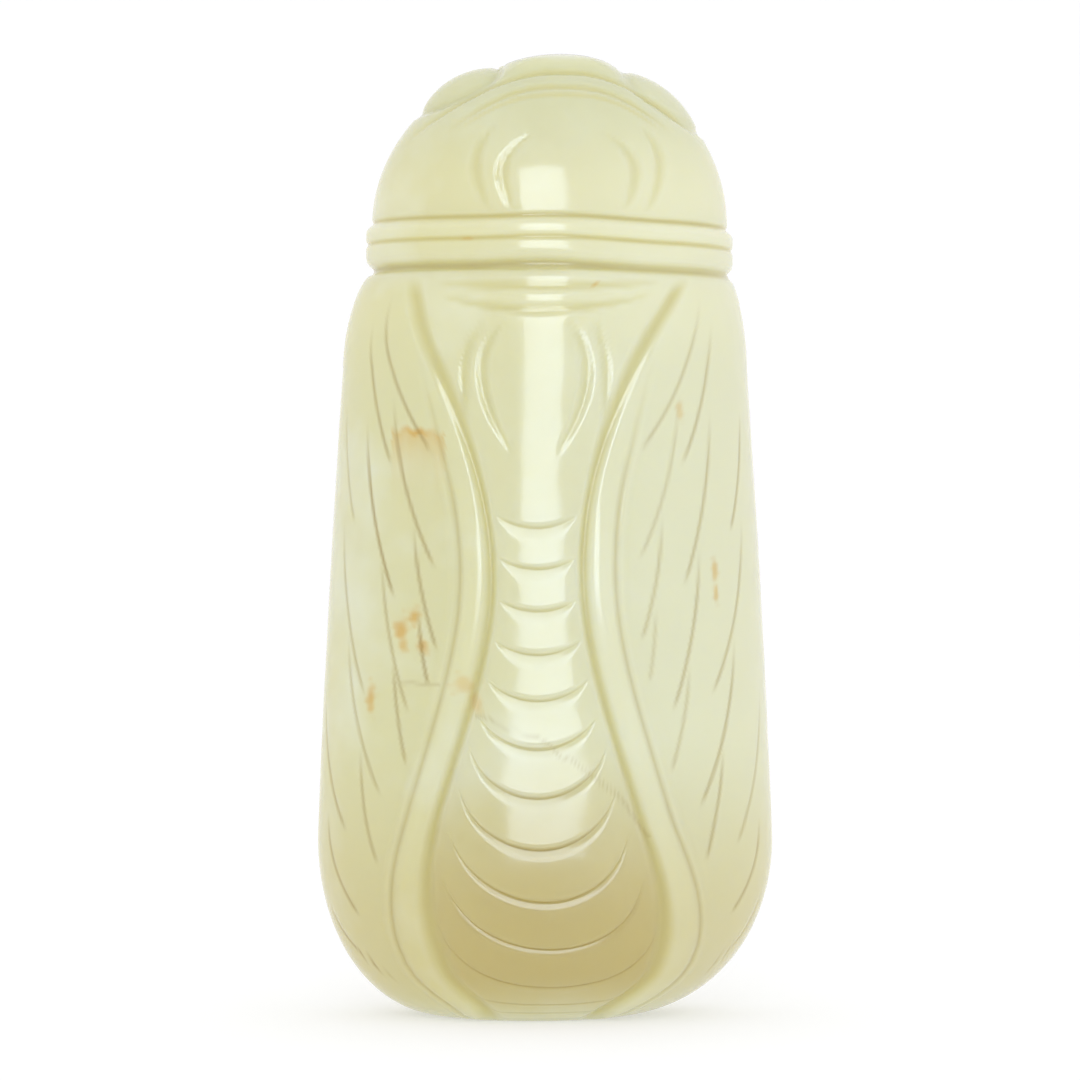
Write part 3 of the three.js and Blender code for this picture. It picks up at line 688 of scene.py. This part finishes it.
def closed_mesh(name, grid, first_pole, last_pole):
    """Quads between rows i, i+1 and columns j, j+1 (wrapping round), plus a fan of triangles at each pole.
    The second half of the columns starts its quads one corner later, so that both wings split alike."""
    rows, count = grid.shape[:2]
    index = np.arange(rows * count).reshape(rows, count)
    right = np.roll(index, -1, axis=1)
    quads = np.stack([index[:-1], right[:-1], right[1:], index[1:]], axis=-1)
    quads[:, count // 2:] = np.roll(quads[:, count // 2:], -1, axis=-1)
    quads = quads.reshape(-1, 4)
    low, high = rows * count, rows * count + 1
    first_fan = np.stack([np.full(count, low), right[0], index[0]], axis=-1)
    last_fan = np.stack([np.full(count, high), index[-1], right[-1]], axis=-1)
    points = np.concatenate([grid.reshape(-1, 3), [first_pole, last_pole]]) * MM
    mesh = bpy.data.meshes.new(name)
    mesh.from_pydata(points.tolist(), [], quads.tolist() + first_fan.tolist() + last_fan.tolist())
    mesh.polygons.foreach_set("use_smooth", np.ones(len(mesh.polygons), dtype=bool))
    mesh.update()
    return mesh


whole = np.concatenate([skin, inside])
mesh = closed_mesh("bottle_carved", whole, (FOOT_SHIFT, 0, 0), (0, 0, HOLLOW_BOTTOM))
for name, values in (("cut", cut), ("dirt", dirt), ("stain", stain), ("honey_and_low_shade", honey_and_low_shade), ("pale_side_and_foot_light", pale_side_and_foot_light),
                     ("painted_head_shade", painted_head_shade)):
    on_points = np.zeros(len(mesh.vertices), dtype=np.float32)
    on_points[:values.size] = values.reshape(-1)
    mesh.attributes.new(name, "FLOAT", "POINT").data.foreach_set("value", on_points)
bottle = bpy.data.objects.new("bottle_carved", mesh)
bpy.context.scene.collection.objects.link(bottle)
mesh.calc_loop_triangles()
print("bottle has", len(mesh.loop_triangles), "triangles")

# %% [markdown]
# ## Nephrite
# Nephrite is a dense felt of fibres that lets light in and scatters it, so thin edges glow and shadows are
# soft. That is subsurface scattering over a few millimetres. Hand polish with fine grit gives it a clear,
# slightly waxy gloss. Two small helpers come first: one turns a colour code into the linear values that
# Blender works in, and one adds a node to a material.

# %% Colours and gloss of the stone


def linear(code):
    """sRGB hex colour to linear RGB with alpha 1."""
    parts = np.array([int(code[i:i + 2], 16) for i in (1, 3, 5)]) / 255
    values = np.where(parts <= 0.04045, parts / 12.92, ((parts + 0.055) / 1.055) ** 2.4)
    return (*values.tolist(), 1.0)


def add_node(tree, kind, settings, inputs):
    """New node of a kind with its settings; each input, by name or number, is linked or gets a value."""
    node = tree.nodes.new(kind)
    for name, value in settings.items():
        setattr(node, name, value)
    for name, value in inputs.items():
        if isinstance(value, bpy.types.NodeSocket):
            tree.links.new(value, node.inputs[name])
        else:
            node.inputs[name].default_value = value
    return node


# Pale polished nephrite: refractive index 1.61, a clear gloss, colours in the stone rather than on it; the
# groove, head, foot and low abdomen colours also carry painted light and shade
# The milky colour is also painted light under the foot
JADE_PALE, JADE_CLOUD, JADE_PALE_AND_FOOT_LIGHT = linear("#CFCB9F"), linear("#D8D8BE"), linear("#D9D8B8")
# Painted shade among these: the grey up the head, the deeper yellow in the grooves, and part of the honey
# brown at the tail
JADE_HEAD_SHADE, JADE_GROOVE_SHADE, JADE_HONEY_AND_LOW_SHADE = linear("#B6B896"), linear("#C6BD7C"), linear("#B5A465")
DUST_OLIVE, RUST = linear("#8C701C"), linear("#C99A34")
POLISH_ROUGHNESS, NEPHRITE_INDEX, SCATTER_DEPTH = 0.11, 1.61, 8.0 * MM
jade = bpy.data.materials.new("nephrite_polished")
jade.use_nodes = True
tree = jade.node_tree
shader = tree.nodes["Principled BSDF"]
shader.inputs["Roughness"].default_value = POLISH_ROUGHNESS
shader.inputs["IOR"].default_value = NEPHRITE_INDEX
shader.inputs["Subsurface Weight"].default_value = 1.0
shader.inputs["Subsurface Radius"].default_value = (1.0, 0.9, 0.6)
shader.inputs["Subsurface Scale"].default_value = SCATTER_DEPTH
print("stone scatters light over up to", round(SCATTER_DEPTH / MM, 1), "mm")

# %% [markdown]
# ## Layers of colour
# The stone has pale clouds about nine millimetres across, and holds brown dust in the finest lines and rust
# near the flaws. A deeper yellow in the grooves is painted shade, standing in for light that bounces to and
# fro in them.
# Each of these is mixed over the colour before it, by the number that the points carry for it times a
# strength.

# %% Layers of the nephrite
CLOUD_SIZE = 9 * MM
place = add_node(tree, "ShaderNodeTexCoord", {}, {}).outputs["Object"]
clouds = add_node(tree, "ShaderNodeTexNoise", {},
                  {"Vector": place, "Scale": 1 / CLOUD_SIZE, "Detail": 3.0, "Roughness": 0.55})
cloudiness = add_node(tree, "ShaderNodeMapRange", {},
                      {"Value": clouds.outputs["Fac"], "From Min": 0.5, "From Max": 0.75, "To Max": 0.8})
colour = JADE_PALE
layers = [(cloudiness.outputs["Result"], 1.0, JADE_CLOUD)]
# These layers include painted light under the foot, painted shade up the head and in the grooves, and honey
# brown that is partly painted shade
for name, strength, tint in (("pale_side_and_foot_light", 0.9, JADE_PALE_AND_FOOT_LIGHT), ("painted_head_shade", 0.65, JADE_HEAD_SHADE), ("honey_and_low_shade", 0.9, JADE_HONEY_AND_LOW_SHADE),
                             ("cut", 0.6, JADE_GROOVE_SHADE), ("stain", 0.9, RUST), ("dirt", 0.75, DUST_OLIVE)):
    amount = add_node(tree, "ShaderNodeAttribute", {"attribute_name": name}, {})
    layers.append((amount.outputs["Fac"], strength, tint))
for amount, strength, tint in layers:
    share = add_node(tree, "ShaderNodeMath", {"operation": "MULTIPLY"}, {0: amount, 1: strength})
    mix = add_node(tree, "ShaderNodeMix", {"data_type": "RGBA"}, {0: share.outputs[0], 6: colour, 7: tint})
    colour = mix.outputs[2]
tree.links.new(colour, shader.inputs["Base Color"])
mesh.materials.append(jade)
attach(bottle, "root")
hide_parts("bottle")
print("material:", jade.name, "with", len(tree.nodes), "nodes")

# %% [markdown]
# ## Floor
# A pale sweep: flat under the bottle, then curving up into a wall far behind it, so that no horizon shows.
# It is a sheet of white acrylic with some light of its own, as on a light table, so the shadow stays faint.

# %% Pale sweep
SWEEP_FRONT, SWEEP_FLAT, SWEEP_RADIUS, SWEEP_TOP, SWEEP_HALF_WIDTH = -1.5, 0.7, 0.5, 2.0, 2.0
sweep_turn = np.linspace(0, np.pi / 2, 24)
curve_y = SWEEP_FLAT + SWEEP_RADIUS * np.sin(sweep_turn)
profile_y = np.concatenate([[SWEEP_FRONT], curve_y, [SWEEP_FLAT + SWEEP_RADIUS]])
profile_z = np.concatenate([[0.0], SWEEP_RADIUS * (1 - np.cos(sweep_turn)), [SWEEP_TOP]])
sweep_x, sweep_y = np.meshgrid(np.linspace(-SWEEP_HALF_WIDTH, SWEEP_HALF_WIDTH, 9), profile_y)
sweep_z = np.repeat(profile_z[:, None], 9, axis=1)
sweep_points = np.stack([sweep_x, sweep_y, sweep_z], axis=-1).reshape(-1, 3)
cell = np.arange(sweep_x.size).reshape(sweep_x.shape)
sweep_faces = np.stack([cell[:-1, :-1], cell[:-1, 1:], cell[1:, 1:], cell[1:, :-1]], axis=-1).reshape(-1, 4)
sweep_mesh = bpy.data.meshes.new("sweep")
sweep_mesh.from_pydata(sweep_points.tolist(), [], sweep_faces.tolist())
sweep_mesh.polygons.foreach_set("use_smooth", np.ones(len(sweep_mesh.polygons), dtype=bool))
sweep = bpy.data.objects.new("sweep", sweep_mesh)
bpy.context.scene.collection.objects.link(sweep)
# Opal acrylic lit from below: matt and white, with a share of its own light that keeps shadows faint
OPAL_ROUGHNESS, OPAL_GLOW = 0.9, 0.42
opal = bpy.data.materials.new("opal_acrylic_lit")
opal.use_nodes = True
opal_shader = opal.node_tree.nodes["Principled BSDF"]
opal_shader.inputs["Base Color"].default_value = linear("#C4C4C4")
opal_shader.inputs["Roughness"].default_value = OPAL_ROUGHNESS
opal_shader.inputs["Emission Color"].default_value = linear("#FFFFFF")
opal_shader.inputs["Emission Strength"].default_value = OPAL_GLOW
sweep_mesh.materials.append(opal)
print("sweep of", len(sweep_faces), "faces")

# %% [markdown]
# ## Light
# The bottle stands in white light from all round, as in a light tent, which the world gives. A tall narrow
# softbox behind and above the camera draws the long highlight down the middle of the back. Its white is a
# little cool, so that the highlight stands apart from the yellow stone.

# %% World and softbox
WORLD_STRENGTH, COOL_WHITE = 1.04, "#DCEBFF"
SOFTBOX_PLACE, SOFTBOX_SIZE, SOFTBOX_POWER = (-0.01, -0.57, 0.185), (0.165, 0.39), 0.85
BOTTLE_MIDDLE = (0, 0, 0.033)
scene = bpy.context.scene
world = bpy.data.worlds.new("light_tent")
world.use_nodes = True
world.node_tree.nodes["Background"].inputs["Color"].default_value = linear("#FFFFFF")
world.node_tree.nodes["Background"].inputs["Strength"].default_value = WORLD_STRENGTH
scene.world = world
scene.view_settings.view_transform = "Standard"


def softbox(name, place, size, power):
    """Rectangular area light at a place, turned to face the middle of the bottle."""
    lamp = bpy.data.lights.new(name, "AREA")
    lamp.shape = "RECTANGLE"
    lamp.size, lamp.size_y = size
    lamp.energy = power
    lamp.color = linear(COOL_WHITE)[:3]
    holder = bpy.data.objects.new(name, lamp)
    away = np.array(place) - np.array(BOTTLE_MIDDLE)
    flat = float(np.hypot(away[0], away[1]))
    holder.location = place
    holder.rotation_euler = (np.arctan2(flat, away[2]), 0, np.arctan2(away[0], -away[1]))
    scene.collection.objects.link(holder)


softbox("front_softbox", SOFTBOX_PLACE, SOFTBOX_SIZE, SOFTBOX_POWER)

# %% [markdown]
# ## Camera
# The photograph looks level at the middle of the bottle, and a distance of 300 mm is assumed. The lens
# follows from the frame: its 1080 pixels take in 74 mm at that distance.

# %% Camera at the photograph's view
FRAME_PIXELS, PIXELS_PER_MM, SENSOR_WIDTH = 1080, 14.56, 36.0
CAMERA_SIDE, CAMERA_DISTANCE, CAMERA_HEIGHT = -0.34, 300.0, 32.5
FRAME_MM = FRAME_PIXELS / PIXELS_PER_MM
camera_data = bpy.data.cameras.new("camera")
camera_data.sensor_fit = "HORIZONTAL"
camera_data.sensor_width = SENSOR_WIDTH
camera_data.lens = SENSOR_WIDTH * CAMERA_DISTANCE / FRAME_MM
camera_data.clip_start = 0.01
camera = bpy.data.objects.new("camera", camera_data)
camera.location = (CAMERA_SIDE * MM, -CAMERA_DISTANCE * MM, CAMERA_HEIGHT * MM)
camera.rotation_euler = (np.pi / 2, 0, 0)
scene.collection.objects.link(camera)
scene.camera = camera
print("lens of", round(camera_data.lens, 1), "mm")
